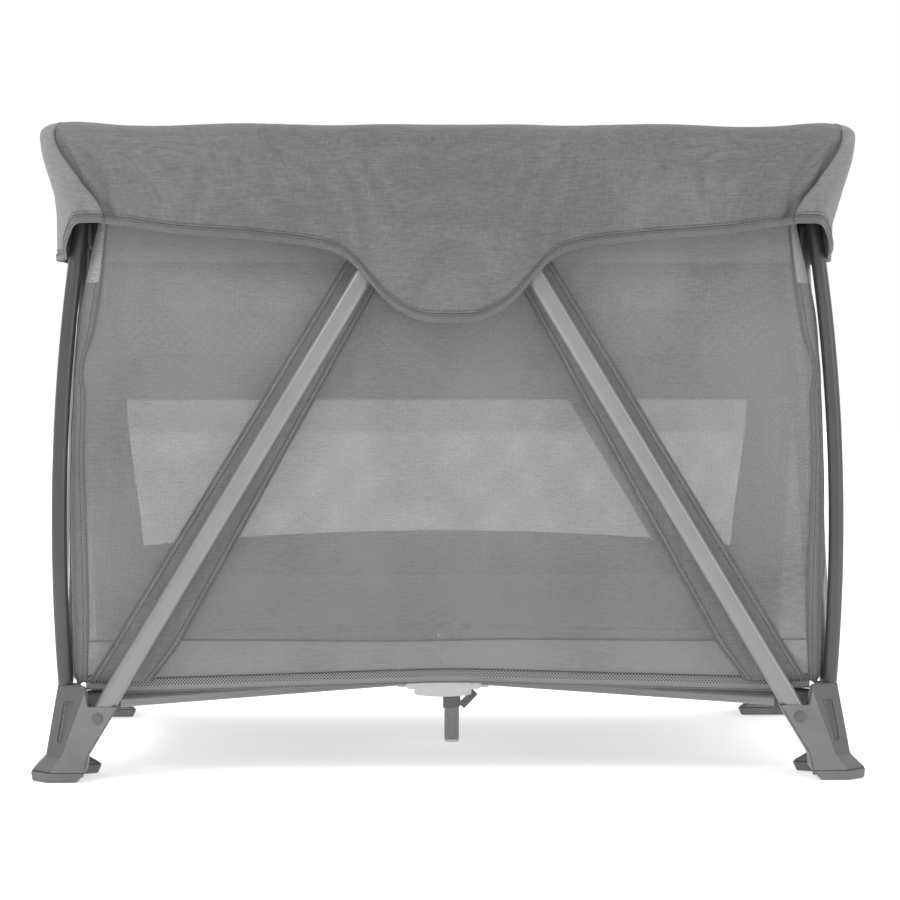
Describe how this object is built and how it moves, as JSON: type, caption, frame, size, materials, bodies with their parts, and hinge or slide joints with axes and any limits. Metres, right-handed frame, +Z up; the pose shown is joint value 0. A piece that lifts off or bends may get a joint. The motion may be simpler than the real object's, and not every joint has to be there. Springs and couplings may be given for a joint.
{
  "type": "travel play yard",
  "caption": "Free-standing folding play yard with mesh walls, scalloped fabric rim, inverted-V legs, floor spokes to a lift-up hub and a bassinet insert.",
  "frame": {"origin": "on the floor under the middle of the play yard", "axes": "+X along the length, -Y the front, +Z up"},
  "size_m": [1.0384, 0.757, 0.812],
  "materials": {
    "housing_plastic": "matte",
    "pad_rubber": "matte",
    "post_paint": "satin",
    "cap_plastic": "matte",
    "pin_steel": "satin",
    "spring_steel": "satin",
    "tube_paint": "satin",
    "leg_paint": "satin",
    "mesh_fabric": "matte",
    "woven_fabric": "matte",
    "tub_fabric": "matte",
    "mattress_fabric": "matte",
    "hub_plastic": "matte",
    "handle_plastic": "matte",
    "white_plastic": "matte",
    "webbing": "matte"
  },
  "bodies": {
    "corner_fl": {"foot_housing_fl": "housing_plastic", "foot_pad_fl": "pad_rubber", "corner_post_fl": "post_paint", "post_cap_fl": "cap_plastic", "corner_pins_fl": "pin_steel", "mesh_wall_front": "mesh_fabric", "rim_apron_front": "woven_fabric", "mesh_wall_left": "mesh_fabric", "rim_apron_left": "woven_fabric", "bassinet_walls": "mesh_fabric"},
    "corner_fr": {"foot_housing_fr": "housing_plastic", "foot_pad_fr": "pad_rubber", "corner_post_fr": "post_paint", "post_cap_fr": "cap_plastic", "corner_pins_fr": "pin_steel", "mesh_wall_right": "mesh_fabric", "rim_apron_right": "woven_fabric"},
    "corner_bl": {"foot_housing_bl": "housing_plastic", "foot_pad_bl": "pad_rubber", "corner_post_bl": "post_paint", "post_cap_bl": "cap_plastic", "corner_pins_bl": "pin_steel", "mesh_wall_back": "mesh_fabric", "rim_apron_back": "woven_fabric"},
    "corner_br": {"foot_housing_br": "housing_plastic", "foot_pad_br": "pad_rubber", "corner_post_br": "post_paint", "post_cap_br": "cap_plastic", "corner_pins_br": "pin_steel"},
    "spoke_fl": {"spoke_fl": "tube_paint"},
    "spoke_fr": {"spoke_fr": "tube_paint"},
    "spoke_bl": {"spoke_bl": "tube_paint"},
    "spoke_br": {"spoke_br": "tube_paint"},
    "hub": {"hub_housing": "hub_plastic", "hub_cover": "hub_plastic", "hub_pins": "pin_steel", "centre_leg": "tube_paint", "centre_leg_cap": "white_plastic", "fold_strap": "webbing", "handle_spring": "spring_steel", "tub_floor": "tub_fabric"},
    "pull_handle": {"pull_handle": "handle_plastic"},
    "v_leg_front_left": {"v_leg_front_left": "leg_paint"},
    "v_leg_left_front": {"v_leg_left_front": "leg_paint"},
    "v_leg_front_right": {"v_leg_front_right": "leg_paint"},
    "v_leg_right_front": {"v_leg_right_front": "leg_paint"},
    "v_leg_back_left": {"v_leg_back_left": "leg_paint"},
    "v_leg_left_back": {"v_leg_left_back": "leg_paint"},
    "v_leg_back_right": {"v_leg_back_right": "leg_paint"},
    "v_leg_right_back": {"v_leg_right_back": "leg_paint"},
    "apex_front": {"apex_bracket_front": "cap_plastic"},
    "apex_back": {"apex_bracket_back": "cap_plastic"},
    "apex_left": {"apex_bracket_left": "cap_plastic"},
    "apex_right": {"apex_bracket_right": "cap_plastic"},
    "bassinet_front": {"bassinet_board_front": "tub_fabric", "mattress_front": "mattress_fabric"},
    "bassinet_back": {"bassinet_board_back": "tub_fabric", "mattress_back": "mattress_fabric"}
  },
  "joints": [
    {"name": "hub_fold", "type": "hinge", "parent": "corner_fl", "child": "spoke_fl", "pos_m": [-0.43, -0.282, 0.09], "axis": [0.5484, -0.8362, 0], "range_deg": [0, 84], "deforming": ["mesh_wall_front", "rim_apron_front", "mesh_wall_left", "rim_apron_left", "bassinet_walls", "mesh_wall_right", "rim_apron_right", "mesh_wall_back", "rim_apron_back", "tub_floor", "bassinet_board_front", "mattress_front", "bassinet_board_back", "mattress_back"]},
    {"name": "hub_level", "type": "hinge", "parent": "spoke_fl", "child": "hub", "pos_m": [-0.04599, -0.03016, 0.09], "axis": [0.5484, -0.8362, 0], "range_deg": [-84.5, 0]},
    {"name": "spoke_hub_fr", "type": "hinge", "parent": "hub", "child": "spoke_fr", "pos_m": [0.04599, -0.03016, 0.09], "axis": [0.5484, 0.8362, 0], "range_deg": [0, 84.5]},
    {"name": "spoke_foot_fr", "type": "hinge", "parent": "spoke_fr", "child": "corner_fr", "pos_m": [0.43, -0.282, 0.09], "axis": [0.5484, 0.8362, 0], "range_deg": [-84.5, 0]},
    {"name": "spoke_hub_bl", "type": "hinge", "parent": "hub", "child": "spoke_bl", "pos_m": [-0.04599, 0.03016, 0.09], "axis": [-0.5484, -0.8362, 0], "range_deg": [0, 84.5]},
    {"name": "spoke_foot_bl", "type": "hinge", "parent": "spoke_bl", "child": "corner_bl", "pos_m": [-0.43, 0.282, 0.09], "axis": [-0.5484, -0.8362, 0], "range_deg": [-84.5, 0]},
    {"name": "spoke_hub_br", "type": "hinge", "parent": "hub", "child": "spoke_br", "pos_m": [0.04599, 0.03016, 0.09], "axis": [-0.5484, 0.8362, 0], "range_deg": [0, 84.5]},
    {"name": "spoke_foot_br", "type": "hinge", "parent": "spoke_br", "child": "corner_br", "pos_m": [0.43, 0.282, 0.09], "axis": [-0.5484, 0.8362, 0], "range_deg": [-84.5, 0]},
    {"name": "v_leg_front_left_fold", "type": "hinge", "parent": "corner_fl", "child": "v_leg_front_left", "pos_m": [-0.436, -0.345, 0.077], "axis": [0, -1, 0], "range_deg": [0, 29.35]},
    {"name": "v_leg_front_right_fold", "type": "hinge", "parent": "corner_fr", "child": "v_leg_front_right", "pos_m": [0.436, -0.345, 0.077], "axis": [0, 1, 0], "range_deg": [0, 29.35]},
    {"name": "apex_front_level", "type": "hinge", "parent": "v_leg_front_left", "child": "apex_front", "pos_m": [-0.067, -0.345, 0.69], "axis": [0, -1, 0], "range_deg": [-29.35, 0]},
    {"name": "v_leg_back_left_fold", "type": "hinge", "parent": "corner_bl", "child": "v_leg_back_left", "pos_m": [-0.436, 0.345, 0.077], "axis": [0, -1, 0], "range_deg": [0, 29.35]},
    {"name": "v_leg_back_right_fold", "type": "hinge", "parent": "corner_br", "child": "v_leg_back_right", "pos_m": [0.436, 0.345, 0.077], "axis": [0, 1, 0], "range_deg": [0, 29.35]},
    {"name": "apex_back_level", "type": "hinge", "parent": "v_leg_back_left", "child": "apex_back", "pos_m": [-0.067, 0.345, 0.69], "axis": [0, -1, 0], "range_deg": [-29.35, 0]},
    {"name": "v_leg_left_front_fold", "type": "hinge", "parent": "corner_fl", "child": "v_leg_left_front", "pos_m": [-0.483, -0.275, 0.077], "axis": [1, 0, 0], "range_deg": [0, 20.36]},
    {"name": "v_leg_left_back_fold", "type": "hinge", "parent": "corner_bl", "child": "v_leg_left_back", "pos_m": [-0.483, 0.275, 0.077], "axis": [-1, 0, 0], "range_deg": [0, 20.36]},
    {"name": "apex_left_level", "type": "hinge", "parent": "v_leg_left_front", "child": "apex_left", "pos_m": [-0.483, -0.026, 0.69], "axis": [1, 0, 0], "range_deg": [-20.36, 0]},
    {"name": "v_leg_right_front_fold", "type": "hinge", "parent": "corner_fr", "child": "v_leg_right_front", "pos_m": [0.483, -0.275, 0.077], "axis": [1, 0, 0], "range_deg": [0, 20.36]},
    {"name": "v_leg_right_back_fold", "type": "hinge", "parent": "corner_br", "child": "v_leg_right_back", "pos_m": [0.483, 0.275, 0.077], "axis": [-1, 0, 0], "range_deg": [0, 20.36]},
    {"name": "apex_right_level", "type": "hinge", "parent": "v_leg_right_front", "child": "apex_right", "pos_m": [0.483, -0.026, 0.69], "axis": [1, 0, 0], "range_deg": [-20.36, 0]},
    {"name": "bassinet_front_fold", "type": "hinge", "parent": "corner_fl", "child": "bassinet_front", "pos_m": [0, -0.289, 0.504], "axis": [1, 0, 0], "range_deg": [0, 84.5]},
    {"name": "bassinet_back_fold", "type": "hinge", "parent": "corner_bl", "child": "bassinet_back", "pos_m": [0, 0.289, 0.504], "axis": [-1, 0, 0], "range_deg": [0, 84.5]},
    {"name": "handle_pull", "type": "slide", "parent": "hub", "child": "pull_handle", "axis": [0, 0, 1], "range_m": [0, 0.012], "stiffness_N_per_m": 500, "springref_m": -0.004, "deforming": ["handle_spring"]}
  ],
  "couplings": [
    {"joint": "hub_level", "follows": "hub_fold", "ratio": -1},
    {"joint": "spoke_hub_fr", "follows": "hub_fold", "ratio": 1},
    {"joint": "spoke_foot_fr", "follows": "hub_fold", "ratio": -1},
    {"joint": "spoke_hub_bl", "follows": "hub_fold", "ratio": 1},
    {"joint": "spoke_foot_bl", "follows": "hub_fold", "ratio": -1},
    {"joint": "spoke_hub_br", "follows": "hub_fold", "ratio": 1},
    {"joint": "spoke_foot_br", "follows": "hub_fold", "ratio": -1},
    {"joint": "v_leg_front_left_fold", "follows": "hub_fold", "ratio": 0.34579},
    {"joint": "v_leg_front_right_fold", "follows": "hub_fold", "ratio": 0.34579},
    {"joint": "apex_front_level", "follows": "hub_fold", "ratio": -0.34579},
    {"joint": "v_leg_back_left_fold", "follows": "hub_fold", "ratio": 0.34579},
    {"joint": "v_leg_back_right_fold", "follows": "hub_fold", "ratio": 0.34579},
    {"joint": "apex_back_level", "follows": "hub_fold", "ratio": -0.34579},
    {"joint": "v_leg_left_front_fold", "follows": "hub_fold", "ratio": 0.23877},
    {"joint": "v_leg_left_back_fold", "follows": "hub_fold", "ratio": 0.23877},
    {"joint": "apex_left_level", "follows": "hub_fold", "ratio": -0.23877},
    {"joint": "v_leg_right_front_fold", "follows": "hub_fold", "ratio": 0.23877},
    {"joint": "v_leg_right_back_fold", "follows": "hub_fold", "ratio": 0.23877},
    {"joint": "apex_right_level", "follows": "hub_fold", "ratio": -0.23877},
    {"joint": "bassinet_front_fold", "follows": "hub_fold", "ratio": 1},
    {"joint": "bassinet_back_fold", "follows": "hub_fold", "ratio": 1}
  ]
}
